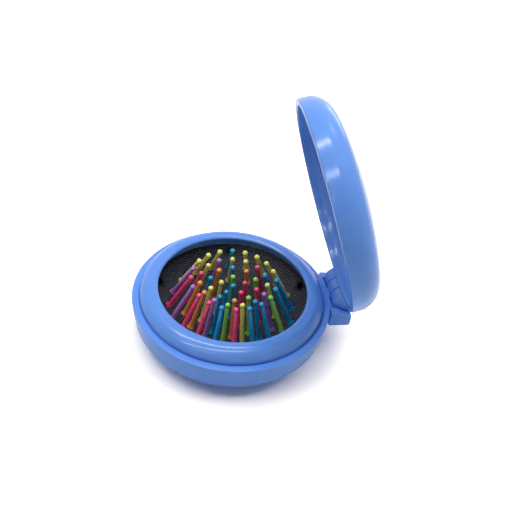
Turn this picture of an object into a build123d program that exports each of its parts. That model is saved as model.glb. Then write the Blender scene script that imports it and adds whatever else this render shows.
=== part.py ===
from build123d import *
import math
import os

# Folding pocket hairbrush with mirror.
# A round base carries a dished rubber pad with rings of plastic bristles held down by a bezel ring.
# A domed lid with a round mirror closes over the bristles on a three-knuckle hinge.
# All sizes are in millimetres.
# Frame: origin on the brush axis in the plane that the base stands on, +Z up, +X towards the hinge.

# ---- base shell ----
flange_radius = 35.0
wall_height = 8.7
wall_draft = 1.0
wall_edge_round = 0.6
base_wall = 1.8
back_height = 6.5
back_run = 7.5
back_bulge = 0.6
foot_width = 7.5
foot_round = 1.0
thumb_edge_chamfer = 0.6
rib_count = 10
rib_thickness = 1.2

# ---- bezel ring ----
flange_ledge = 2.6
bezel_roll = 4.55
bezel_slope_width = 1.8
bezel_slope_drop = 0.7
bezel_edge_round = 0.3
bezel_face_depth = 1.7
bezel_plug_wall = 1.4
bezel_plug_depth = 3.2
clamp_rib_width = 2.3
clamp_rib_drop = 3.4
bezel_clearance = 0.05

# ---- rubber pad ----
pad_thickness = 1.2
pad_ground_clearance = 1.6
pad_mouth_gap = 0.3
pad_flange_clearance = 0.2
pad_lip_round = 0.6
dish_curve = 50.0
dish_edge_inset = 2.65
collar_wall = 1.3
collar_clearance = 0.4
vent_count = 5
vent_radius = 1.35
vent_drop = 1.8

# ---- bristles ----
ring_leans = (0.0, 4.2, 10.0, 17.8, 27.6)
ring_margin = 1.4
bristles_per_ring_step = 5
first_bristle_angle = 14.0
bristle_length = 15.4
tip_radius = 0.95
shaft_tip_radius = 0.7
shaft_foot_radius = 0.85
foot_flare_radius = 1.35
foot_flare_height = 1.9
foot_flare_hollow = 0.11
foot_edge_round = 0.12
shank_radius = 0.6
shank_clearance = 0.02
head_radius = 1.1
head_height = 0.5
head_gap = 0.1
seat_depth = 0.1

# ---- hinge ----
knuckle_radius = 4.65
knuckle_width = 5.0
knuckle_gap = 0.15
knuckle_wall_gap = 0.15
hinge_rise = 0.85
trough_clearance = 0.3
trough_floor = 2.3
bracket_width = 21.3
bracket_overhang = 1.8
bracket_round = 0.9
cheek_gap = 0.2
cheek_run = 3.4
cheek_middle_run = 1.3
cheek_middle_drop = 2.1
cheek_end_run = 0.7
cheek_end_drop = 3.0
cheek_lip = 0.35
pin_radius = 0.8
pin_press_gap = 0.01
pin_running_gap = 0.05
pin_recess = 0.15
pin_blind_wall = 1.2
lid_open_angle = 70.8

# ---- lid ----
lid_rim_wall = 2.15
lid_crown_wall = 2.1
lid_crown_curve = 780.0
lid_shoulder_width = 11.1
lid_corner_drop = 3.95
lid_corner_round = 7.2
lid_cavity_drop = 3.4
lid_cavity_round = 6.0
lid_rim_round = 0.5
lid_seat_gap = 0.15
lid_web_drop = 0.9

# ---- mirror ----
tip_clearance = 1.05
mirror_margin = 8.85
mirror_thickness = 1.0
mirror_bevel = 0.35
mirror_edge_gap = 0.15
mirror_seat_ledge = 0.45
tape_margin = 2.0
tape_thickness = 0.2

# ---- places that follow from the sizes above ----
flange_top = back_height + wall_height
wall_foot_radius = flange_radius - wall_draft
foot_radius = wall_foot_radius - back_run
thumb_opening_radius = foot_radius - foot_width
bezel_foot_radius = flange_radius - flange_ledge
bezel_crown_radius = bezel_foot_radius - bezel_roll
bezel_opening_radius = bezel_crown_radius - bezel_slope_width
bezel_crown_height = flange_top + bezel_roll
plug_inner_radius = bezel_foot_radius - bezel_plug_wall
clamp_rib_radius = plug_inner_radius - clamp_rib_width
plug_bottom = flange_top - bezel_plug_depth
socket_radius = bezel_foot_radius + bezel_clearance
bezel_face_bottom = bezel_crown_height - bezel_slope_drop - bezel_face_depth
pad_top = bezel_face_bottom - clamp_rib_drop
pad_clamp_height = pad_top - pad_thickness
pad_flange_radius = plug_inner_radius - pad_flange_clearance
pad_mouth_radius = clamp_rib_radius - pad_mouth_gap
dish_radius = bezel_opening_radius - dish_edge_inset
dish_centre_height = pad_ground_clearance + head_height + head_gap + pad_thickness
dish_curve_centre = dish_centre_height + dish_curve
ring_step = (dish_radius - ring_margin) / (len(ring_leans) - 1)
trough_radius = knuckle_radius + trough_clearance
hinge_offset = flange_radius + knuckle_wall_gap + knuckle_radius
hinge_height = flange_top + hinge_rise
knuckle_row_half = 1.5 * knuckle_width + knuckle_gap
hinge_axis = Axis((hinge_offset, 0, hinge_height), (0, 1, 0))
bracket_end = hinge_offset + bracket_overhang
bracket_bottom = hinge_height - trough_radius - trough_floor
lid_radius = flange_radius
lid_cavity_radius = lid_radius - lid_rim_wall
lid_rim_height = flange_top + lid_seat_gap
mirror_radius = lid_cavity_radius - mirror_margin
tape_radius = mirror_radius - tape_margin


def dish_height(radius):
    """Height of the pad's top face at a distance from the brush axis."""
    return dish_curve_centre - math.sqrt(dish_curve**2 - radius**2)


dish_turn = math.asin(dish_radius / dish_curve)
edge_run = pad_mouth_radius - dish_radius
edge_rise = pad_top - dish_height(dish_radius)
edge_turn = 2 * math.atan2(edge_rise, edge_run) - dish_turn
edge_curve = edge_run / (math.sin(edge_turn) - math.sin(dish_turn))
edge_centre = (
    dish_radius - edge_curve * math.sin(dish_turn),
    dish_height(dish_radius) + edge_curve * math.cos(dish_turn),
)
under_curve = edge_curve + pad_thickness
under_turn = math.acos((edge_centre[1] - pad_clamp_height) / under_curve)
vent_turn = math.acos((edge_centre[1] - pad_top + vent_drop) / edge_curve)
collar_radius = edge_centre[0] + under_curve * math.sin(under_turn) + collar_clearance
outer_ring_radius = (len(ring_leans) - 1) * ring_step
outer_ring_rise = bristle_length * math.cos(math.radians(ring_leans[-1]))
tip_top = dish_height(outer_ring_radius) + outer_ring_rise + tip_radius
mirror_face_depth = tip_top + tip_clearance - lid_rim_height
lid_floor_depth = mirror_face_depth + mirror_thickness + tape_thickness
lid_depth = lid_floor_depth + lid_crown_wall


def bowl_arc(centre, radius, start, end):
    """Arc of the pad's section about a centre, between two turns counted from straight down."""
    corners = []
    for turn in (start, (start + end) / 2, end):
        corners.append((centre[0] + radius * math.sin(turn), centre[1] - radius * math.cos(turn)))
    return ThreePointArc(*corners)


def turned(profile):
    """Solid of revolution of a face drawn in the XZ plane."""
    return revolve(Plane.XZ * profile, Axis.Z)


def drawn(*points):
    """Straight-sided face through points given as (distance from axis, height)."""
    return make_face(Polyline(*points, close=True))


def knuckle(start, width, radius=knuckle_radius):
    """Round bar along the hinge axis from a Y position over a width."""
    bar = Cylinder(radius, width, rotation=(90, 0, 0))
    return Pos(hinge_offset, start + width / 2, hinge_height) * bar


def bristle_places():
    """Foot plane of every bristle: ring by ring from the centre, counted from the first angle."""
    places = []
    for ring, lean in enumerate(ring_leans):
        radius = ring * ring_step
        count = max(1, ring * bristles_per_ring_step)
        for step in range(count):
            turn = Rot(0, 0, first_bristle_angle + 360.0 * step / count)
            places.append(turn * Pos(radius, 0, dish_height(radius)) * Rot(0, -lean, 0))
    return places


def base_shell():
    """Round base: tapered wall with flat flange, domed back, thumb opening, collar, ribs, bracket."""
    back_length = math.hypot(back_run, back_height)
    across = (back_height / back_length, -back_run / back_length)
    middle = ((wall_foot_radius + foot_radius) / 2, back_height / 2)
    bulged = (middle[0] + across[0] * back_bulge, middle[1] + across[1] * back_bulge)
    outline = make_face(
        [
            Line((0, 0), (foot_radius, 0)),
            ThreePointArc((foot_radius, 0), bulged, (wall_foot_radius, back_height)),
            Line((wall_foot_radius, back_height), (flange_radius, flange_top)),
            Line((flange_radius, flange_top), (0, flange_top)),
            Line((0, flange_top), (0, 0)),
        ]
    )
    corners = outline.vertices().filter_by(lambda v: v.X > 1).sort_by(Axis.Y)
    outline = fillet(corners[0], foot_round)
    corners = outline.vertices().filter_by(lambda v: abs(v.X - wall_foot_radius) < 0.01)
    outline = fillet(corners, wall_edge_round)
    inner_start = foot_radius - across[0] * base_wall
    inner_rise = -across[1] * base_wall
    slope = back_height / back_run
    inner_floor = inner_start + (base_wall - inner_rise) / slope
    inner_corner = inner_rise + (socket_radius - inner_start) * slope
    hollow = drawn(
        (0, base_wall),
        (inner_floor, base_wall),
        (socket_radius, inner_corner),
        (socket_radius, flange_top + 1),
        (0, flange_top + 1),
    )
    collar_outer = collar_radius + collar_wall
    collar_bottom = base_wall + (collar_radius - inner_floor) * slope - 0.5
    collar = drawn(
        (collar_radius, collar_bottom),
        (collar_outer, collar_bottom),
        (collar_outer, pad_clamp_height),
        (collar_radius, pad_clamp_height),
    )
    opening = drawn(
        (0, -1),
        (thumb_opening_radius, -1),
        (thumb_opening_radius, base_wall - thumb_edge_chamfer),
        (thumb_opening_radius + 2 * thumb_edge_chamfer, base_wall + thumb_edge_chamfer),
        (0, base_wall + thumb_edge_chamfer),
    )
    body = turned(outline - hollow - opening + collar)
    rib_profile = drawn(
        (collar_outer - 0.3, base_wall + 2),
        (socket_radius + 0.3, inner_corner - 0.6),
        (socket_radius + 0.3, plug_bottom),
        (collar_outer - 0.3, plug_bottom),
    )
    rib = extrude(Plane.XZ * rib_profile, rib_thickness / 2, both=True)
    for step in range(rib_count):
        body += Rot(0, 0, 360.0 * step / rib_count) * rib
    block_length = bracket_end - socket_radius
    block_height = flange_top - bracket_bottom
    block = Box(block_length, bracket_width, block_height)
    block = Pos(bracket_end - block_length / 2, 0, flange_top - block_height / 2) * block
    low_edge = block.edges().filter_by(Axis.Y).group_by(Axis.Z)[0].sort_by(Axis.X)[-1]
    block = fillet(low_edge, bracket_round)
    block -= Cylinder(socket_radius + 1, 4 * flange_top)
    knuckle_row = 2 * (knuckle_row_half + cheek_gap)
    trough = knuckle(-knuckle_row / 2, knuckle_row, trough_radius)
    middle_bar = Pos(hinge_offset, 0, hinge_height) * Box(30, knuckle_width, 30)
    cheek_start = (hinge_offset - cheek_run, flange_top)
    cheek_middle = (hinge_offset - cheek_middle_run, hinge_height - cheek_middle_drop)
    cheek_end = (hinge_offset + cheek_end_run, hinge_height - cheek_end_drop)
    slope = make_face(
        [
            ThreePointArc(cheek_start, cheek_middle, cheek_end),
            Polyline(
                cheek_end,
                (bracket_end + 1, cheek_end[1] + cheek_lip),
                (bracket_end + 1, flange_top + 1),
                (cheek_start[0], flange_top + 1),
                cheek_start,
            ),
        ]
    )
    cheek_cut = extrude(Plane.XZ * slope, bracket_width, both=True)
    block -= cheek_cut - middle_bar
    block -= trough - middle_bar
    block += knuckle(-knuckle_width / 2, knuckle_width)
    body += block
    body -= knuckle(-bracket_width, 2 * bracket_width, pin_radius + pin_press_gap)
    return body


def bezel_ring():
    """Rounded ring that holds the pad's edge down and plugs into the base."""
    edge_height = bezel_crown_height - bezel_slope_drop
    roll = bezel_roll * math.sqrt(0.5)
    slope_curve = (bezel_slope_width**2 + bezel_slope_drop**2) / (2 * bezel_slope_drop)
    half_turn = math.asin(bezel_slope_width / slope_curve) / 2
    slope_middle = (
        bezel_crown_radius - slope_curve * math.sin(half_turn),
        bezel_crown_height - slope_curve * (1 - math.cos(half_turn)),
    )
    outline = make_face(
        [
            ThreePointArc(
                (bezel_foot_radius, flange_top),
                (bezel_crown_radius + roll, flange_top + roll),
                (bezel_crown_radius, bezel_crown_height),
            ),
            ThreePointArc(
                (bezel_crown_radius, bezel_crown_height),
                slope_middle,
                (bezel_opening_radius, edge_height),
            ),
            Polyline(
                (bezel_opening_radius, edge_height),
                (bezel_opening_radius, bezel_face_bottom),
                (clamp_rib_radius, bezel_face_bottom),
                (clamp_rib_radius, pad_top),
                (plug_inner_radius, pad_top),
                (plug_inner_radius, plug_bottom),
                (bezel_foot_radius, plug_bottom),
                (bezel_foot_radius, flange_top),
            ),
        ]
    )
    inner_edge = outline.vertices().group_by(Axis.X)[0].sort_by(Axis.Y)[-1]
    return turned(fillet(inner_edge, bezel_edge_round))


def bristle_pad(places):
    """Dished rubber pad with a clamped edge, vent holes and a seat for every bristle."""
    dish_centre = (0, dish_curve_centre)
    outer_dish_curve = dish_curve + pad_thickness
    under_edge = bowl_arc(edge_centre, under_curve, dish_turn, under_turn)
    section = make_face(
        [
            bowl_arc(dish_centre, dish_curve, 0, dish_turn),
            bowl_arc(edge_centre, edge_curve, dish_turn, edge_turn),
            Polyline(
                (pad_mouth_radius, pad_top),
                (pad_flange_radius, pad_top),
                (pad_flange_radius, pad_clamp_height),
                under_edge @ 1,
            ),
            under_edge,
            bowl_arc(dish_centre, outer_dish_curve, 0, dish_turn),
            Line((0, dish_centre_height), (0, dish_centre_height - pad_thickness)),
        ]
    )
    lip = section.vertices().filter_by(lambda v: abs(v.Y - pad_top) < 0.01).sort_by(Axis.X)[0]
    pad = turned(fillet(lip, pad_lip_round))
    vent_reach = edge_centre[0] + edge_curve * math.sin(vent_turn)
    vent = Cylinder(vent_radius, 4 * pad_thickness)
    vent = Pos(vent_reach, 0, pad_top - vent_drop) * Rot(0, -math.degrees(vent_turn), 0) * vent
    for step in range(vent_count):
        pad -= Rot(0, 0, first_bristle_angle + 360.0 * step / vent_count) * vent
    hole = Cylinder(shank_radius + shank_clearance, 4 * pad_thickness)
    seat = Pos(0, 0, -seat_depth) * extrude(Circle(foot_flare_radius), 1)
    cuts = [place * cut for place in places for cut in (hole, seat)]
    return pad - cuts


def bristle():
    """One bristle on its foot plane: head and shank below, flared foot, shaft and ball above."""
    tip_start = math.sqrt(tip_radius**2 - shaft_tip_radius**2)
    head_top = -pad_thickness - head_gap
    flare_middle = (
        (foot_flare_radius + shaft_foot_radius) / 2 - foot_flare_hollow,
        foot_flare_height / 2 - foot_flare_hollow,
    )
    outline = make_face(
        [
            Polyline(
                (0, head_top - head_height),
                (head_radius, head_top - head_height),
                (head_radius, head_top),
                (shank_radius, head_top),
                (shank_radius, -seat_depth),
                (foot_flare_radius - foot_edge_round, -seat_depth),
                (foot_flare_radius, foot_edge_round - seat_depth),
            ),
            ThreePointArc(
                (foot_flare_radius, foot_edge_round - seat_depth),
                flare_middle,
                (shaft_foot_radius, foot_flare_height),
            ),
            Line(
                (shaft_foot_radius, foot_flare_height),
                (shaft_tip_radius, bristle_length - tip_start),
            ),
            ThreePointArc(
                (shaft_tip_radius, bristle_length - tip_start),
                (tip_radius, bristle_length),
                (0, bristle_length + tip_radius),
            ),
            Line((0, bristle_length + tip_radius), (0, head_top - head_height)),
        ]
    )
    return turned(outline)


def lid_outline():
    """Half outline of the lid's outer face standing on its rim: crown, shoulder, corner and side."""
    shoulder_radius = lid_radius - lid_shoulder_width
    corner_height = lid_depth - lid_corner_drop
    shoulder_drop = lid_crown_curve - math.sqrt(lid_crown_curve**2 - shoulder_radius**2)
    middle_drop = lid_crown_curve - math.sqrt(lid_crown_curve**2 - (shoulder_radius / 2) ** 2)
    shoulder_fall = lid_corner_drop - shoulder_drop
    outline = make_face(
        [
            ThreePointArc(
                (0, lid_depth),
                (shoulder_radius / 2, lid_depth - middle_drop),
                (shoulder_radius, lid_depth - shoulder_drop),
            ),
            Polyline(
                (shoulder_radius, lid_depth - shoulder_drop),
                (lid_radius, corner_height),
                (lid_radius, 0),
                (0, 0),
                (0, lid_depth),
            ),
        ]
    )
    crown_turn = math.asin(shoulder_radius / lid_crown_curve)
    slope_turn = math.atan2(shoulder_fall, lid_shoulder_width)
    corner_reach = lid_corner_round * math.tan((math.pi / 2 - slope_turn) / 2)
    shoulder_reach = math.hypot(lid_shoulder_width, shoulder_fall) - corner_reach - lid_rim_round
    shoulder_round = shoulder_reach / math.tan((slope_turn - crown_turn) / 2)
    corner = outline.vertices().filter_by(lambda v: abs(v.Y - corner_height) < 0.001)
    outline = fillet(corner, lid_corner_round)
    shoulder = outline.vertices().filter_by(lambda v: abs(v.X - shoulder_radius) < 0.001)
    return fillet(shoulder, shoulder_round)


def closed_lid():
    """Domed lid in its closed place, with a seat for the mirror and two hinge knuckles."""
    seat_radius = mirror_radius + mirror_edge_gap
    seat_height = mirror_face_depth + mirror_bevel
    cavity_corner = lid_floor_depth - lid_cavity_drop
    cavity = drawn(
        (0, -1),
        (lid_cavity_radius, -1),
        (lid_cavity_radius, cavity_corner),
        (seat_radius + mirror_seat_ledge, seat_height),
        (seat_radius, seat_height),
        (seat_radius, lid_floor_depth),
        (0, lid_floor_depth),
    )
    corner = cavity.vertices().filter_by(lambda v: abs(v.Y - cavity_corner) < 0.001)
    section = lid_outline() - fillet(corner, lid_cavity_round)
    rim = section.vertices().filter_by(lambda v: abs(v.Y) < 0.001)
    section = fillet(rim, lid_rim_round)
    lid = Pos(0, 0, lid_rim_height) * turned(section)
    web_height = hinge_height + knuckle_radius - lid_web_drop - lid_rim_height
    web_length = hinge_offset - lid_cavity_radius
    for side in (1, -1):
        centre = side * (knuckle_width + knuckle_gap)
        web = Box(web_length, knuckle_width, web_height)
        web = Pos(hinge_offset - web_length / 2, centre, lid_rim_height + web_height / 2) * web
        web -= Cylinder(lid_radius - lid_rim_wall / 2, 4 * lid_depth + 4 * flange_top)
        lid += web + knuckle(centre - knuckle_width / 2, knuckle_width)
    bore_start = pin_blind_wall - knuckle_row_half
    lid -= knuckle(bore_start, 2 * bracket_width, pin_radius + pin_running_gap)
    return lid


def closed_mirror():
    """Round glass mirror in the lid with a bevel round its face."""
    face = lid_rim_height + mirror_face_depth
    disc = Pos(0, 0, face + mirror_thickness / 2) * Cylinder(mirror_radius, mirror_thickness)
    return chamfer(disc.edges().sort_by(Axis.Z)[0], mirror_bevel)


def closed_tape():
    """Adhesive disc between the mirror and the lid's floor."""
    middle = lid_rim_height + lid_floor_depth - tape_thickness / 2
    return Pos(0, 0, middle) * Cylinder(tape_radius, tape_thickness)


def hinge_pin():
    """Steel pin pushed in from one side: one lid knuckle is open at its end, the other is blind."""
    length = 2 * (knuckle_row_half - pin_recess) - pin_blind_wall
    return knuckle(pin_blind_wall - knuckle_row_half + pin_recess, length, pin_radius)


if __name__ == "__main__":
    os.makedirs("parts", exist_ok=True)
    places = bristle_places()
    one_bristle = bristle()
    parts = {
        "base_shell": base_shell(),
        "bezel_ring": bezel_ring(),
        "bristle_pad": bristle_pad(places),
        "hinge_pin": hinge_pin(),
        "lid_shell": closed_lid().rotate(hinge_axis, lid_open_angle),
        "mirror": closed_mirror().rotate(hinge_axis, lid_open_angle),
        "mirror_tape": closed_tape().rotate(hinge_axis, lid_open_angle),
    }
    for number, place in enumerate(places, 1):
        parts[f"bristle_{number:02d}"] = place * one_bristle
    for name, shape in parts.items():
        export_step(shape, f"parts/{name}.step")
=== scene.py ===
import math

import bpy
from mathutils import Matrix, Vector


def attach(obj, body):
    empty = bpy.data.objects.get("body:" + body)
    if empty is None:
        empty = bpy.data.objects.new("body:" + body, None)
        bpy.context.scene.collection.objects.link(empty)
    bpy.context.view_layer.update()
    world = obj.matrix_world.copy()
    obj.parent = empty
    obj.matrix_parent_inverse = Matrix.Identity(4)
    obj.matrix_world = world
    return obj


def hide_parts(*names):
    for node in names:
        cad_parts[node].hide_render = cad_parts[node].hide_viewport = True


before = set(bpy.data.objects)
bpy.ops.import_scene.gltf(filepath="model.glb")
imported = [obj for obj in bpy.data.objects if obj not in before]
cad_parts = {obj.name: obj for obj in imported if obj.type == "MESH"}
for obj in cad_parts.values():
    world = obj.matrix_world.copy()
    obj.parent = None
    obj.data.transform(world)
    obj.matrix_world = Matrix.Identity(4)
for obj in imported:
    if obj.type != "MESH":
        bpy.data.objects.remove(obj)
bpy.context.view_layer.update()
bpy.ops.object.select_all(action="DESELECT")


# ---------------------------------------------------------------------------
# Base case. A round shell of glossy light-blue plastic, injection moulded in one shot, with a
# tapered wall, a flat flange, a domed back with a thumb opening, and an inner collar that carries
# the rubber pad. The hinge bracket and the middle knuckle are part of the same moulding.
# ---------------------------------------------------------------------------
mm = 0.001
round_steps = 192
flange_radius = 35.0
flange_top = 15.2
wall_bottom_radius = 34.0
wall_bottom = 6.5
foot_radius = 26.5
back_bulge = 0.6
thumb_opening_radius = 19.0
case_wall = 1.8
socket_radius = 32.45
socket_floor = 7.54
collar_inner = 29.46
collar_outer = 30.76
collar_top = 12.75
floor_run = 25.83


def bow(start, end, bulge, count):
    """Points of a shallow arc from start to end, bulging to the right of its direction."""
    run = (end[0] - start[0], end[1] - start[1])
    length = math.hypot(*run)
    side = (run[1] / length, -run[0] / length)
    points = []
    for step in range(count + 1):
        along = step / count
        out = bulge * 4 * along * (1 - along)
        across = start[0] + run[0] * along + side[0] * out
        points.append((across, start[1] + run[1] * along + side[1] * out))
    return points


def arc(centre, radius, start_angle, end_angle, count):
    """Points of an arc about a centre, between two angles in degrees."""
    points = []
    for step in range(count + 1):
        angle = math.radians(start_angle + (end_angle - start_angle) * step / count)
        points.append((centre[0] + radius * math.cos(angle), centre[1] + radius * math.sin(angle)))
    return points


def choose(piece):
    """Makes a piece the active one, and the only one selected."""
    bpy.ops.object.select_all(action="DESELECT")
    bpy.context.view_layer.objects.active = piece
    piece.select_set(True)


def traced(name, spots):
    """A chain of edges through a row of places (x, y, z) in mm, left selected in edit mode."""
    bpy.ops.object.select_all(action="DESELECT")
    bpy.ops.mesh.primitive_plane_add(size=mm)
    piece = bpy.context.object
    piece.name = name
    piece.data.name = name
    bpy.ops.object.mode_set(mode="EDIT")
    bpy.ops.mesh.select_all(action="SELECT")
    bpy.ops.mesh.merge(type="CENTER")
    bpy.ops.transform.translate(value=[part * mm for part in spots[0]])
    for before, after in zip(spots, spots[1:]):
        move = [(end - start) * mm for start, end in zip(before, after)]
        bpy.ops.mesh.extrude_vertices_move(TRANSFORM_OT_translate={"value": move})
    bpy.ops.mesh.select_all(action="SELECT")
    return piece


def turned(name, outline, steps=round_steps):
    """A piece turned about the brush axis from its half outline of (radius, height) in mm."""
    weld = 0.002 * mm
    piece = traced(name, [(radius, 0, height) for radius, height in outline])
    bpy.ops.mesh.spin(steps=steps, angle=2 * math.pi, center=(0, 0, 0), axis=(0, 0, 1))
    bpy.ops.mesh.select_all(action="SELECT")
    bpy.ops.mesh.remove_doubles(threshold=weld)
    bpy.ops.mesh.normals_make_consistent(inside=False)
    bpy.ops.object.mode_set(mode="OBJECT")
    return piece


def round_edge(piece, radius, height, size, segments):
    """Rounds the ring of edges that lies at one radius and height, all in mm."""
    near = 0.01 * mm
    choose(piece)
    bpy.ops.object.mode_set(mode="EDIT")
    bpy.ops.mesh.select_all(action="DESELECT")
    bpy.ops.object.mode_set(mode="OBJECT")
    on_ring = []
    for corner in piece.data.vertices:
        reach = math.hypot(corner.co.x, corner.co.y)
        on_ring.append(abs(reach - radius * mm) < near and abs(corner.co.z - height * mm) < near)
    for edge in piece.data.edges:
        edge.select = all(on_ring[end] for end in edge.vertices)
    bpy.ops.object.mode_set(mode="EDIT")
    bpy.ops.mesh.select_mode(type="EDGE")
    bpy.ops.mesh.bevel(offset=size * mm, segments=segments, affect="EDGES")
    bpy.ops.mesh.select_mode(type="VERT")
    bpy.ops.object.mode_set(mode="OBJECT")


cone_slope = (socket_floor - case_wall) / (socket_radius - floor_run)
case_outline = [(thumb_opening_radius, case_wall), (thumb_opening_radius, 0)]
case_outline += bow((foot_radius, 0), (wall_bottom_radius, wall_bottom), back_bulge, count=12)
case_outline += [
    (flange_radius, flange_top),
    (socket_radius, flange_top),
    (socket_radius, socket_floor),
    (collar_outer, case_wall + (collar_outer - floor_run) * cone_slope),
    (collar_outer, collar_top),
    (collar_inner, collar_top),
    (collar_inner, case_wall + (collar_inner - floor_run) * cone_slope),
    (floor_run, case_wall),
    (thumb_opening_radius, case_wall),
]
base_case = turned("base_case", case_outline)
round_edge(base_case, foot_radius, 0, size=0.36, segments=5)
round_edge(base_case, wall_bottom_radius, wall_bottom, size=0.23, segments=4)
round_edge(base_case, flange_radius, flange_top, size=0.45, segments=5)
round_edge(base_case, socket_radius, flange_top, size=0.2, segments=3)
round_edge(base_case, thumb_opening_radius, 0, size=0.3, segments=3)

# The hinge bracket: a block on the case wall, with a trough for the lid's knuckles, cheeks that
# slope down to a lip, and the middle knuckle standing in it. Each knuckle is made shorter by the
# seam relief at both ends, so that the seams between knuckles stay visible.
hinge_offset = 39.8
hinge_height = 16.05
knuckle_radius = 4.65
knuckle_width = 5.0
knuckle_gap = 0.15
seam_relief = 0.1
trough_clearance = 0.3
cheek_gap = 0.2
cheek_bulge = 0.15
cheek_start = (36.4, flange_top)
cheek_end = (40.5, 13.05)
lip_top = 13.23
bracket_half = 10.65
bracket_root = 34.0
bracket_end = 41.6
bracket_bottom = 8.8
bracket_round = 0.9
edge_break = 0.12
knuckle_row_half = 1.5 * knuckle_width + knuckle_gap + cheek_gap


def slab(name, contour, low, high):
    """A straight bar between two Y places in mm, with its contour drawn in the XZ plane."""
    piece = traced(name, [(across, low, height) for across, height in contour])
    bpy.ops.mesh.edge_face_add()
    bpy.ops.mesh.extrude_region_move(TRANSFORM_OT_translate={"value": (0, (high - low) * mm, 0)})
    bpy.ops.mesh.select_all(action="SELECT")
    bpy.ops.mesh.normals_make_consistent(inside=False)
    bpy.ops.object.mode_set(mode="OBJECT")
    return piece


def hinge_bar(name, radius, low, high, sides=96):
    """A round bar on the hinge axis between two Y places in mm."""
    bpy.ops.object.select_all(action="DESELECT")
    bpy.ops.mesh.primitive_cylinder_add(
        vertices=sides,
        radius=radius * mm,
        depth=(high - low) * mm,
        location=(hinge_offset * mm, (low + high) / 2 * mm, hinge_height * mm),
        rotation=(math.pi / 2, 0, 0),
    )
    piece = bpy.context.object
    piece.name = name
    piece.data.name = name
    bpy.ops.object.transform_apply(location=True, rotation=True, scale=True)
    return piece


def combine(piece, tool, operation):
    """Joins a tool piece to a piece, or cuts it away, and removes the tool."""
    choose(piece)
    step = piece.modifiers.new("combine", "BOOLEAN")
    step.operation = operation
    step.solver = "EXACT"
    step.object = tool
    bpy.ops.object.modifier_apply(modifier=step.name)
    bpy.data.objects.remove(tool)


def soften(piece, width, segments=2, sharper_than=50):
    """Cleans a joined piece of its slivers and breaks its sharp edges by a small width in mm."""
    weld = 0.02 * mm
    flat = 0.01
    choose(piece)
    bpy.ops.object.mode_set(mode="EDIT")
    bpy.ops.mesh.select_all(action="SELECT")
    bpy.ops.mesh.remove_doubles(threshold=weld)
    bpy.ops.mesh.dissolve_limited(angle_limit=flat)
    bpy.ops.object.mode_set(mode="OBJECT")
    step = piece.modifiers.new("soften", "BEVEL")
    step.width = width * mm
    step.segments = segments
    step.limit_method = "ANGLE"
    step.angle_limit = math.radians(sharper_than)
    step.use_clamp_overlap = False
    bpy.ops.object.modifier_apply(modifier=step.name)


def smooth(piece, sharper_than=32):
    """Shades a piece smooth except along its sharp edges."""
    choose(piece)
    bpy.ops.object.shade_smooth_by_angle(angle=math.radians(sharper_than))


trough = knuckle_radius + trough_clearance
lip_angle = math.degrees(math.asin((bracket_end - hinge_offset) / trough)) - 90
brim_angle = -180 + math.degrees(math.asin((hinge_height - flange_top) / trough))
lower_corner = (bracket_end - bracket_round, bracket_bottom + bracket_round)
underside = [(bracket_root, bracket_bottom)]
underside += arc(lower_corner, bracket_round, -90, 0, count=8)
top_of_root = (bracket_root, flange_top)
trough_arc = arc((hinge_offset, hinge_height), trough, lip_angle, brim_angle, count=32)
trough_contour = underside + trough_arc + [top_of_root]
middle_contour = underside + [(bracket_end, flange_top), top_of_root]
cheek_arc = bow(cheek_end, cheek_start, -cheek_bulge, count=12)
cheek_contour = underside + [(bracket_end, lip_top)] + cheek_arc + [top_of_root]
middle_half = knuckle_width / 2 - seam_relief
bracket = slab("bracket", trough_contour, -knuckle_row_half, knuckle_row_half)
combine(bracket, slab("middle", middle_contour, -middle_half, middle_half), "UNION")
combine(bracket, hinge_bar("knuckle", knuckle_radius, -middle_half, middle_half), "UNION")
for low, high in ((-bracket_half, -knuckle_row_half), (knuckle_row_half, bracket_half)):
    combine(bracket, slab("cheek", cheek_contour, low, high), "UNION")
soften(bracket, edge_break)
combine(base_case, bracket, "UNION")
smooth(base_case)


def screen_colour(red, green, blue):
    """The light values that a shader takes for a colour as a screen shows it, 0 to 255."""
    values = []
    for part in (red, green, blue):
        part = part / 255
        values.append(part / 12.92 if part <= 0.04045 else ((part + 0.055) / 1.055) ** 2.4)
    return (*values, 1.0)


def new_material(name):
    """A fresh node material, with its nodes, its links and its shader."""
    material = bpy.data.materials.new(name)
    material.use_nodes = True
    nodes = material.node_tree.nodes
    return material, nodes, material.node_tree.links, nodes["Principled BSDF"]


def two_tone(material, pattern, colours, roughness):
    """Lets a noise pattern carry a material between two colours and between two roughnesses."""
    nodes = material.node_tree.nodes
    links = material.node_tree.links
    shader = nodes["Principled BSDF"]
    tint = nodes.new("ShaderNodeMix")
    tint.data_type = "RGBA"
    tint.inputs["A"].default_value = colours[0]
    tint.inputs["B"].default_value = colours[1]
    links.new(pattern.outputs["Fac"], tint.inputs["Factor"])
    links.new(tint.outputs["Result"], shader.inputs["Base Color"])
    polish = nodes.new("ShaderNodeMapRange")
    polish.inputs["To Min"].default_value = roughness[0]
    polish.inputs["To Max"].default_value = roughness[1]
    links.new(pattern.outputs["Fac"], polish.inputs["Value"])
    links.new(polish.outputs["Result"], shader.inputs["Roughness"])


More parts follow.
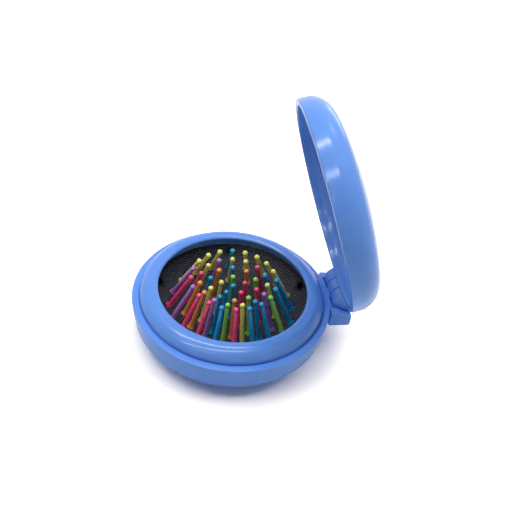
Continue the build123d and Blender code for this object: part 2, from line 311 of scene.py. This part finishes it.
def moulded_plastic(
    name, colours, roughness, flow_scale=90, grain_scale=2600, grain_height=0.004, ior=1.5
):
    """Moulded plastic: faint flow clouds in colour and gloss, and a very fine skin, in mm."""
    material, nodes, links, shader = new_material(name)
    place = nodes.new("ShaderNodeTexCoord")
    flow = nodes.new("ShaderNodeTexNoise")
    flow.inputs["Scale"].default_value = flow_scale
    flow.inputs["Detail"].default_value = 3
    links.new(place.outputs["Object"], flow.inputs["Vector"])
    two_tone(material, flow, colours, roughness)
    grain = nodes.new("ShaderNodeTexNoise")
    grain.inputs["Scale"].default_value = grain_scale
    grain.inputs["Detail"].default_value = 2
    links.new(place.outputs["Object"], grain.inputs["Vector"])
    relief = nodes.new("ShaderNodeBump")
    relief.inputs["Strength"].default_value = 0.35
    relief.inputs["Distance"].default_value = grain_height * mm
    links.new(grain.outputs["Fac"], relief.inputs["Height"])
    links.new(relief.outputs["Normal"], shader.inputs["Normal"])
    shader.inputs["IOR"].default_value = ior
    return material


def give_material(piece, material):
    """Puts a material on a piece, in place of any other."""
    piece.data.materials.clear()
    piece.data.materials.append(material)


case_blue = moulded_plastic(
    "case_blue",
    colours=(screen_colour(94, 146, 228), screen_colour(86, 137, 219)),
    roughness=(0.13, 0.22),
    ior=1.42,
)
give_material(base_case, case_blue)
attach(base_case, "base")
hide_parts("base_shell")


# ---------------------------------------------------------------------------
# Rubber pad. A black moulded rubber bowl, 1.2 mm thick, whose edge is clamped between the case's
# collar and the bezel. Five vents pierce its rising edge, and small raised dots cover it.
# ---------------------------------------------------------------------------
pad_thickness = 1.2
dish_low = 3.4
dish_curve = 50.0
dish_radius = 23.4
pad_top = 13.95
pad_mouth = 28.4
pad_edge = 30.8
vent_count = 5
vent_radius = 1.35
vent_height = 12.15
vent_cut = 5.0
first_angle = 14.0


def dish_height(radius):
    """Height of the pad's top face at a distance from the brush axis, in mm."""
    return dish_low + dish_curve - math.sqrt(dish_curve**2 - radius**2)


dish_centre = (0, dish_low + dish_curve)
dish_turn = math.degrees(math.asin(dish_radius / dish_curve))
edge_rise = pad_top - dish_height(dish_radius)
mouth_turn = 2 * math.degrees(math.atan2(edge_rise, pad_mouth - dish_radius)) - dish_turn
edge_spread = math.sin(math.radians(mouth_turn)) - math.sin(math.radians(dish_turn))
edge_curve = (pad_mouth - dish_radius) / edge_spread
edge_centre = (
    dish_radius - edge_curve * math.sin(math.radians(dish_turn)),
    dish_height(dish_radius) + edge_curve * math.cos(math.radians(dish_turn)),
)
under_curve = edge_curve + pad_thickness
under_turn = math.degrees(math.acos((edge_centre[1] - pad_top + pad_thickness) / under_curve))
pad_outline = arc(dish_centre, dish_curve + pad_thickness, -90, dish_turn - 90, count=18)
pad_outline += arc(edge_centre, under_curve, dish_turn - 90, under_turn - 90, count=8)[1:]
pad_outline += [(pad_edge, pad_top - pad_thickness), (pad_edge, pad_top)]
pad_outline += arc(edge_centre, edge_curve, mouth_turn - 90, dish_turn - 90, count=8)
pad_outline += arc(dish_centre, dish_curve, dish_turn - 90, -90, count=18)[1:]
rubber_pad = turned("rubber_pad", pad_outline)
round_edge(rubber_pad, pad_mouth, pad_top, size=0.3, segments=5)
vent_turn = math.acos((edge_centre[1] - vent_height) / edge_curve)
vent_reach = edge_centre[0] + edge_curve * math.sin(vent_turn)
vents = []
for step in range(vent_count):
    angle = math.radians(first_angle + 360 * step / vent_count)
    across, along = vent_reach * math.cos(angle), vent_reach * math.sin(angle)
    vents.append((across * mm, along * mm, vent_height * mm))
    bpy.ops.object.select_all(action="DESELECT")
    bpy.ops.mesh.primitive_cylinder_add(
        vertices=40,
        radius=vent_radius * mm,
        depth=vent_cut * mm,
        location=vents[-1],
        rotation=(0, -vent_turn, angle),
    )
    vent_tool = bpy.context.object
    bpy.ops.object.transform_apply(location=True, rotation=True, scale=True)
    combine(rubber_pad, vent_tool, "DIFFERENCE")
smooth(rubber_pad, sharper_than=40)

# The raised dots: one small dome, laid out flat by arrays as a staggered field, then wrapped onto
# the bowl so that each keeps its distance from the centre along the rubber.
dot_radius = 0.36
dot_height = 0.34
dot_sides = 8
dot_crown_inset = 0.5
dot_crown_rise = 0.35
dot_pitch = 1.06
row_pitch = 0.94
field_reach = 30.2


def one_dot(name):
    """One low dome, half of whose straight side lies below zero height, inside the rubber."""
    bpy.ops.object.select_all(action="DESELECT")
    bpy.ops.mesh.primitive_cylinder_add(
        vertices=dot_sides,
        radius=dot_radius * mm,
        depth=dot_height * mm,
    )
    dot = bpy.context.object
    dot.name = name
    dot.data.name = name
    bpy.ops.object.mode_set(mode="EDIT")
    bpy.ops.mesh.select_all(action="DESELECT")
    bpy.ops.object.mode_set(mode="OBJECT")
    for face in dot.data.polygons:
        face.select = face.normal.z > 0.5
    bpy.ops.object.mode_set(mode="EDIT")
    bpy.ops.mesh.select_mode(type="FACE")
    bpy.ops.mesh.inset(
        thickness=dot_radius * dot_crown_inset * mm,
        depth=dot_height * dot_crown_rise * mm,
    )
    bpy.ops.mesh.select_mode(type="VERT")
    bpy.ops.object.mode_set(mode="OBJECT")
    return dot


def repeat(piece, count, offset):
    """Repeats a piece in a row by an array, with the step given in mm."""
    choose(piece)
    row = piece.modifiers.new("row", "ARRAY")
    row.count = count
    row.use_relative_offset = False
    row.use_constant_offset = True
    row.constant_offset_displace = [part * mm for part in offset]
    bpy.ops.object.modifier_apply(modifier=row.name)


def on_bowl(spot):
    """Where a point of the flat field lies once it is wrapped onto the bowl, in metres."""
    along = math.hypot(spot.x, spot.y) / mm
    around = math.atan2(spot.y, spot.x)
    dish_run = dish_curve * math.radians(dish_turn)
    if along < dish_run:
        centre, curve, turn = dish_centre, dish_curve, along / dish_curve
    else:
        turn = math.radians(dish_turn) + (along - dish_run) / edge_curve
        centre, curve = edge_centre, edge_curve
    curve -= spot.z / mm
    radius = centre[0] + curve * math.sin(turn)
    height = centre[1] - curve * math.cos(turn)
    return Vector((radius * math.cos(around), radius * math.sin(around), height)) * mm


columns = 2 * math.ceil(field_reach / dot_pitch) + 1
rows = 2 * math.ceil(field_reach / (2 * row_pitch)) + 1
fields = []
for shift in (0, 1):
    field = one_dot("dots")
    dot_corners = len(field.data.vertices)
    repeat(field, columns, (dot_pitch, 0, 0))
    repeat(field, rows, (0, 2 * row_pitch, 0))
    left = -(columns - 1) / 2 * dot_pitch + shift * dot_pitch / 2
    front = -(rows - 1) * row_pitch + shift * row_pitch
    for corner in field.data.vertices:
        corner.co.x += left * mm
        corner.co.y += front * mm
    fields.append(field)
pad_grain = fields[0]
pad_grain.name = "pad_grain"
pad_grain.data.name = "pad_grain"
choose(pad_grain)
fields[1].select_set(True)
bpy.ops.object.join()

# The bristles' seats: rings round the centre, each with its own lean.
ring_step = 5.5
bristles_per_step = 5
ring_leans = (0.0, 4.2, 10.0, 17.8, 27.6)
seats = []
for ring, lean in enumerate(ring_leans):
    radius = ring * ring_step
    count = max(1, ring * bristles_per_step)
    for step in range(count):
        turn = Matrix.Rotation(math.radians(first_angle + 360 * step / count), 4, "Z")
        stand = Matrix.Translation((radius * mm, 0, dish_height(radius) * mm))
        seats.append(turn @ stand @ Matrix.Rotation(math.radians(-lean), 4, "Y"))

# Dots that lie outside the field, or in the smooth patch round a foot or a vent, are cleared.
foot_clear = 1.5
vent_clear = 2.3
drop = []
corners = pad_grain.data.vertices
for first in range(0, len(corners), dot_corners):
    group = range(first, first + dot_corners)
    middle = sum((corners[index].co for index in group), Vector()) / dot_corners
    outside = math.hypot(middle.x, middle.y) > field_reach * mm
    middle = on_bowl(middle)
    near_foot = min((middle - seat.translation).length for seat in seats) < foot_clear * mm
    near_vent = min((middle - Vector(vent)).length for vent in vents) < vent_clear * mm
    if outside or near_foot or near_vent:
        drop.extend(group)
for corner in corners:
    corner.co = on_bowl(corner.co)
choose(pad_grain)
bpy.ops.object.mode_set(mode="EDIT")
bpy.ops.mesh.select_all(action="DESELECT")
bpy.ops.object.mode_set(mode="OBJECT")
for index in drop:
    corners[index].select = True
bpy.ops.object.mode_set(mode="EDIT")
bpy.ops.mesh.delete(type="VERT")
bpy.ops.object.mode_set(mode="OBJECT")
smooth(pad_grain, sharper_than=60)

pad_rubber = moulded_plastic(
    "pad_rubber",
    colours=(screen_colour(9, 12, 18), screen_colour(6, 8, 13)),
    roughness=(0.42, 0.55),
    flow_scale=160,
    grain_scale=3200,
    grain_height=0.012,
    ior=1.3,
)
# The dots are a lighter grey than the rubber round them. This is a painted highlight that stands
# in for the shine on their tops.
dot_rubber_painted_highlight = moulded_plastic(
    "dot_rubber_painted_highlight",
    colours=(screen_colour(80, 84, 100), screen_colour(68, 74, 92)),
    roughness=(0.2, 0.3),
    flow_scale=160,
    grain_scale=3200,
)
for piece, rubber in ((rubber_pad, pad_rubber), (pad_grain, dot_rubber_painted_highlight)):
    give_material(piece, rubber)
    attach(piece, "base")
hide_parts("bristle_pad")


# ---------------------------------------------------------------------------
# Bezel ring. A rounded ring of the same plastic, pressed into the case. A rib under it holds the
# pad's edge down, and its lip overhangs the bowl and thins towards the opening.
# ---------------------------------------------------------------------------
bezel_foot = 32.4
bezel_roll = 4.55
bezel_opening = 26.05
opening_drop = 0.7
face_bottom = 17.35
lip_rise = 0.85
rib_inner = 28.7
plug_inner = 31.0
plug_bottom = 12.0
crown = (bezel_foot - bezel_roll, flange_top + bezel_roll)
opening_top = crown[1] - opening_drop
opening_bottom = face_bottom + lip_rise
inner_run = crown[0] - bezel_opening
inner_curve = (inner_run**2 + opening_drop**2) / (2 * opening_drop)
inner_turn = math.degrees(math.asin(inner_run / inner_curve))
inner_centre = (crown[0], crown[1] - inner_curve)
bezel_outline = arc((crown[0], flange_top), bezel_roll, 0, 90, count=28)
bezel_outline += arc(inner_centre, inner_curve, 90, 90 + inner_turn, count=5)[1:]
bezel_outline += [
    (bezel_opening, opening_bottom),
    (rib_inner, face_bottom),
    (rib_inner, pad_top),
    (plug_inner, pad_top),
    (plug_inner, plug_bottom),
    (bezel_foot, plug_bottom),
    (bezel_foot, flange_top),
]
bezel_ring = turned("bezel_moulding", bezel_outline)
round_edge(bezel_ring, bezel_opening, opening_top, size=0.25, segments=5)
round_edge(bezel_ring, bezel_opening, opening_bottom, size=0.4, segments=5)
smooth(bezel_ring)
give_material(bezel_ring, case_blue)
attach(bezel_ring, "base")
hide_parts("bezel_ring")


# ---------------------------------------------------------------------------
# Bristles. Each is one nylon moulding: a head and a shank that hold it in the rubber, a flared
# foot, a tapering shaft and a ball tip. They come in six mixed colours.
# ---------------------------------------------------------------------------
bristle_length = 15.4
ball_radius = 0.95
neck_radius = 0.7
shaft_radius = 0.85
flare_radius = 1.35
flare_height = 1.9
flare_edge = 0.12
flare_rim = 0.05
flare_sweep = 1.8
flare_steps = 8
shaft_steps = 6
shank_radius = 0.6
head_radius = 1.1
head_height = 0.5
head_flat = 0.8
head_side = 0.7
head_edge = 0.1
head_gap = 0.1
head_top = -pad_thickness - head_gap
seat_depth = 0.1
neck_run = 0.1
ball_start = math.degrees(math.asin(neck_radius / ball_radius)) - 90
shaft_top = bristle_length - math.sqrt(ball_radius**2 - neck_radius**2) - neck_run
bristle_outline = [
    (0, head_top - head_height),
    (head_radius * head_flat, head_top - head_height),
    (head_radius, head_top - head_height * head_side),
    (head_radius, head_top - head_edge / 2),
    (head_radius - head_edge, head_top),
    (shank_radius, head_top),
    (shank_radius, -seat_depth),
    (flare_radius - flare_edge, -seat_depth),
    (flare_radius, flare_rim),
]
for step in range(1, flare_steps + 1):
    along = step / flare_steps
    radius = shaft_radius + (flare_radius - shaft_radius) * (1 - along) ** flare_sweep
    bristle_outline.append((radius, flare_rim + (flare_height - flare_rim) * along))
for step in range(1, shaft_steps + 1):
    along = step / shaft_steps
    radius = shaft_radius + (neck_radius - shaft_radius) * along
    bristle_outline.append((radius, flare_height + (shaft_top - flare_height) * along))
bristle_outline += arc((0, bristle_length), ball_radius, ball_start, 90, count=12)
bristle = turned("bristle", bristle_outline, steps=24)
smooth(bristle, sharper_than=50)

nylon_colours = {
    "yellow": (250, 244, 126),
    "blue": (10, 160, 218),
    "pink": (255, 76, 132),
    "violet": (186, 130, 212),
    "orange": (252, 164, 84),
    "green": (150, 228, 92),
}
nylon_shade = 0.94
nylons = {}
for name, hue in nylon_colours.items():
    shade = screen_colour(*(part * nylon_shade for part in hue))
    nylons[name] = moulded_plastic(
        f"nylon_{name}",
        colours=(screen_colour(*hue), shade),
        roughness=(0.22, 0.34),
        flow_scale=300,
        grain_scale=5000,
        grain_height=0.003,
        ior=1.53,
    )
    shader = nylons[name].node_tree.nodes["Principled BSDF"]
    shader.inputs["Subsurface Weight"].default_value = 0.35
    shader.inputs["Subsurface Radius"].default_value = (1.0, 0.8, 0.6)
    shader.inputs["Subsurface Scale"].default_value = 0.8 * mm
ring_colours = (
    "blue",
    "pink green yellow blue pink",
    "green orange blue orange blue yellow blue orange green pink",
    "blue pink yellow yellow violet yellow pink orange"
    " orange violet green yellow blue violet yellow",
    "yellow yellow yellow yellow blue yellow yellow yellow violet pink"
    " violet pink pink blue pink blue blue green blue blue",
)
colour_names = " ".join(ring_colours).split()
for number, (seat, colour_name) in enumerate(zip(seats, colour_names), 1):
    copy = bristle.copy()
    copy.data = bristle.data.copy()
    copy.name = f"bristle_{colour_name}_{number:02d}"
    copy.data.name = copy.name
    bpy.context.scene.collection.objects.link(copy)
    copy.matrix_world = seat
    choose(copy)
    bpy.ops.object.transform_apply(location=True, rotation=True, scale=True)
    give_material(copy, nylons[colour_name])
    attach(copy, "base")
    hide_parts(f"bristle_{number:02d}")
bpy.data.objects.remove(bristle)


# ---------------------------------------------------------------------------
# Hinge pin. A plain drawn steel wire, pushed in through one lid knuckle and the middle knuckle,
# which holds it, into the blind bore of the other. Only its one end shows.
# ---------------------------------------------------------------------------
drawn_steel, nodes, links, shader = new_material("drawn_steel")
shader.inputs["Metallic"].default_value = 1.0
place = nodes.new("ShaderNodeTexCoord")
stretch = nodes.new("ShaderNodeMapping")
stretch.inputs["Scale"].default_value = (1.0, 0.05, 1.0)
draw_marks = nodes.new("ShaderNodeTexNoise")
draw_marks.inputs["Scale"].default_value = 9000
links.new(place.outputs["Object"], stretch.inputs["Vector"])
links.new(stretch.outputs["Vector"], draw_marks.inputs["Vector"])
steel_greys = (screen_colour(176, 178, 182), screen_colour(205, 206, 210))
two_tone(drawn_steel, draw_marks, steel_greys, roughness=(0.22, 0.4))
give_material(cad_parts["hinge_pin"], drawn_steel)


# ---------------------------------------------------------------------------
# Lid. A domed cap of the same glossy plastic with a thick rim, two knuckles outside it, and a
# flat seat inside for the mirror. It is made shut, then swung open about the hinge.
# ---------------------------------------------------------------------------
lid_rim_height = 15.35
lid_wall = 2.15
lid_depth = 12.1
crown_curve = 780.0
shoulder_width = 11.1
shoulder_margin = 0.3
corner_drop = 3.95
corner_round = 7.2
cavity_radius = flange_radius - lid_wall
mirror_radius = 24.0
mirror_gap = 0.15
mirror_seat = mirror_radius + mirror_gap
seat_ledge = 0.45
floor_depth = 10.0
seat_height = 9.15
cavity_corner = 6.6
cavity_round = 6.0
rim_round = 0.5
web_inset = 0.1
web_lift = 0.02
web_drop = 0.9
web_bottom = lid_rim_height + web_lift
web_top = hinge_height + knuckle_radius - web_drop
pin_hole = 0.85
blind_wall = 1.2
open_angle = math.radians(70.8)

# The lid's corners are drawn sharp, and their long rounds are worked out first.
shoulder_radius = flange_radius - shoulder_width
crown_centre = (0, lid_rim_height + lid_depth - crown_curve)
shoulder_height = crown_centre[1] + math.sqrt(crown_curve**2 - shoulder_radius**2)
corner_height = lid_rim_height + lid_depth - corner_drop
shoulder_fall = shoulder_height - corner_height
slope_turn = math.atan2(shoulder_fall, shoulder_width)
corner_reach = corner_round * math.tan((math.pi / 2 - slope_turn) / 2)
shoulder_reach = math.hypot(shoulder_width, shoulder_fall) - corner_reach - rim_round
crown_end = shoulder_radius - shoulder_reach - shoulder_margin
crown_turn = math.degrees(math.asin(crown_end / crown_curve))
cavity_slope = math.atan2(seat_height - cavity_corner, cavity_radius - mirror_seat - seat_ledge)
cavity_reach = cavity_round * math.tan((math.pi / 2 - cavity_slope) / 2)
lid_outline = arc(crown_centre, crown_curve, 90, 90 - crown_turn, count=6)
lid_outline += [
    (shoulder_radius, shoulder_height),
    (flange_radius, corner_height),
    (flange_radius, lid_rim_height),
    (cavity_radius, lid_rim_height),
    (cavity_radius, lid_rim_height + cavity_corner),
    (mirror_seat + seat_ledge, lid_rim_height + seat_height),
    (mirror_seat, lid_rim_height + seat_height),
    (mirror_seat, lid_rim_height + floor_depth),
    (0, lid_rim_height + floor_depth),
]
lid = turned("lid_cap", lid_outline)
round_edge(lid, flange_radius, corner_height, size=corner_reach, segments=22)
round_edge(lid, shoulder_radius, shoulder_height, size=shoulder_reach, segments=10)
round_edge(lid, cavity_radius, lid_rim_height + cavity_corner, size=cavity_reach, segments=14)
round_edge(lid, flange_radius, lid_rim_height, size=rim_round, segments=5)
round_edge(lid, cavity_radius, lid_rim_height, size=rim_round, segments=5)

# Each knuckle is a bar on the hinge axis with a web that carries it out from the lid's wall.
lug_start = knuckle_width / 2 + knuckle_gap + seam_relief
lug_end = 1.5 * knuckle_width + knuckle_gap - seam_relief
web_root = flange_radius - lid_wall / 2
web_contour = [
    (web_root, web_bottom),
    (hinge_offset, web_bottom),
    (hinge_offset, web_top),
    (web_root, web_top),
]
for low, high in ((-lug_end, -lug_start), (lug_start, lug_end)):
    lug = hinge_bar("lug", knuckle_radius, low, high)
    soften(lug, edge_break)
    web = slab("web", web_contour, low + web_inset, high - web_inset)
    soften(web, edge_break)
    combine(lug, web, "UNION")
    combine(lid, lug, "UNION")
hole_start = blind_wall - 1.5 * knuckle_width - knuckle_gap
pin_tool = hinge_bar("pin_hole", pin_hole, hole_start, 2 * bracket_half, sides=48)
combine(lid, pin_tool, "DIFFERENCE")
smooth(lid)
hinge_place = Vector((hinge_offset, 0, hinge_height)) * mm
lid.matrix_world = (
    Matrix.Translation(hinge_place)
    @ Matrix.Rotation(open_angle, 4, "Y")
    @ Matrix.Translation(-hinge_place)
)
choose(lid)
bpy.ops.object.transform_apply(location=True, rotation=True, scale=True)
give_material(lid, case_blue)
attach(lid, "lid")
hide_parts("lid_shell")


# ---------------------------------------------------------------------------
# Mirror. A round of silvered glass with a bevelled edge, stuck into the lid with a disc of white
# foam tape.
# ---------------------------------------------------------------------------
silvered_glass, nodes, links, shader = new_material("silvered_glass")
shader.inputs["Metallic"].default_value = 1.0
place = nodes.new("ShaderNodeTexCoord")
haze = nodes.new("ShaderNodeTexNoise")
haze.inputs["Scale"].default_value = 120
haze.inputs["Detail"].default_value = 6
links.new(place.outputs["Object"], haze.inputs["Vector"])
silvers = (screen_colour(238, 241, 243), screen_colour(228, 232, 235))
two_tone(silvered_glass, haze, silvers, roughness=(0.01, 0.04))
give_material(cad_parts["mirror"], silvered_glass)

foam_tape = moulded_plastic(
    "foam_tape",
    colours=(screen_colour(232, 231, 226), screen_colour(218, 217, 212)),
    roughness=(0.7, 0.85),
    flow_scale=400,
    grain_scale=4000,
    grain_height=0.03,
)
give_material(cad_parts["mirror_tape"], foam_tape)


# ---------------------------------------------------------------------------
# Table. A plain white sheet that the brush stands on. It keeps the brush's soft shadow.
# ---------------------------------------------------------------------------
table_side = 1.7
bpy.ops.object.select_all(action="DESELECT")
bpy.ops.mesh.primitive_plane_add(size=table_side)
table = bpy.context.object
table.name = "white_table"
table_white, nodes, links, shader = new_material("table_white")
shader.inputs["Roughness"].default_value = 1.0
shader.inputs["Specular IOR Level"].default_value = 0.0
paper = nodes.new("ShaderNodeRGB")
paper.outputs[0].default_value = (0.9, 0.9, 0.88, 1)
bright_paper = nodes.new("ShaderNodeRGB")
bright_paper.outputs[0].default_value = (1.46, 1.36, 1.25, 1)
ray = nodes.new("ShaderNodeLightPath")
pick = nodes.new("ShaderNodeMix")
pick.data_type = "RGBA"
pick.clamp_factor = True
links.new(ray.outputs["Is Camera Ray"], pick.inputs["Factor"])
links.new(paper.outputs[0], pick.inputs["A"])
links.new(bright_paper.outputs[0], pick.inputs["B"])
links.new(pick.outputs["Result"], shader.inputs["Base Color"])
give_material(table, table_white)


# ---------------------------------------------------------------------------
# Light: a white room with a wide soft ceiling panel, which gives the light and the shadows. Three
# long tubes, a small lamp and a low window behind at the right only draw the bright lines on the
# rounded edges.
# ---------------------------------------------------------------------------
object_middle = (0.0, 0.0, 0.02)


def soft_lamp(name, place, width, height, power):
    """A rectangular lamp at a place in metres, aimed at the brush, with its power in watts."""
    data = bpy.data.lights.new(name, "AREA")
    data.shape = "RECTANGLE"
    data.size = width
    data.size_y = height
    data.energy = power
    lamp = bpy.data.objects.new(name, data)
    bpy.context.scene.collection.objects.link(lamp)
    lamp.location = place
    aim = Vector(object_middle) - Vector(place)
    lamp.rotation_euler = aim.to_track_quat("-Z", "Y").to_euler()
    return lamp


panel = soft_lamp("ceiling_panel", (0.14, 0.21, 1.0), width=2.2, height=0.9, power=22.5)
panel.rotation_euler = (0, 0, 0)
panel.visible_glossy = False
tubes = (
    ("tube_back", (-0.18, 0.16, 0.9), 8, 0.7, 0.08, 3.4),
    ("tube_middle", (-0.50, -0.44, 0.9), 14, 1.4, 0.10, 5.6),
    ("tube_front", (-0.72, -1.02, 0.9), 14, 0.9, 0.05, 1.6),
)
for name, place, turn, length, width, power in tubes:
    tube = soft_lamp(name, place, length, width, power)
    tube.rotation_euler = (0, 0, math.radians(turn))
    tube.visible_diffuse = False
lamp_right = soft_lamp("lamp_right", (0.54, 0.61, 0.9), width=0.2, height=0.2, power=0.4)
lamp_right.visible_diffuse = False
window_back = soft_lamp("window_back", (0.54, 0.73, 0.16), width=0.3, height=0.12, power=0.3)
window_back.visible_diffuse = False

# The room is plain white to the camera and in reflections, and gives only a weak fill light.
fill_level = 0.13
world = bpy.data.worlds.new("white_room")
bpy.context.scene.world = world
world.use_nodes = True
nodes = world.node_tree.nodes
links = world.node_tree.links
room = nodes["Background"]
ray = nodes.new("ShaderNodeLightPath")
seen = nodes.new("ShaderNodeMath")
seen.operation = "MAXIMUM"
shown = nodes.new("ShaderNodeMath")
shown.operation = "MAXIMUM"
links.new(ray.outputs["Is Camera Ray"], seen.inputs[0])
links.new(ray.outputs["Is Transmission Ray"], seen.inputs[1])
links.new(seen.outputs["Value"], shown.inputs[0])
links.new(ray.outputs["Is Glossy Ray"], shown.inputs[1])
level = nodes.new("ShaderNodeMapRange")
level.inputs["To Min"].default_value = fill_level
level.inputs["To Max"].default_value = 1.0
links.new(shown.outputs["Value"], level.inputs["Value"])
room.inputs["Color"].default_value = (1, 1, 1, 1)
links.new(level.outputs["Result"], room.inputs["Strength"])


# ---------------------------------------------------------------------------
# Camera: above and in front, looking down on the open brush with the hinge at the right.
# ---------------------------------------------------------------------------
camera_data = bpy.data.cameras.new("camera")
camera_data.lens = 44.24
camera_data.sensor_width = 36.0
camera = bpy.data.objects.new("camera", camera_data)
bpy.context.scene.collection.objects.link(camera)
camera.location = (-0.030085, -0.157426, 0.170110)
camera.rotation_euler = [math.radians(turn) for turn in (49.3493, -6.2003, -7.7956)]
bpy.context.scene.camera = camera
bpy.context.scene.view_settings.view_transform = "Standard"
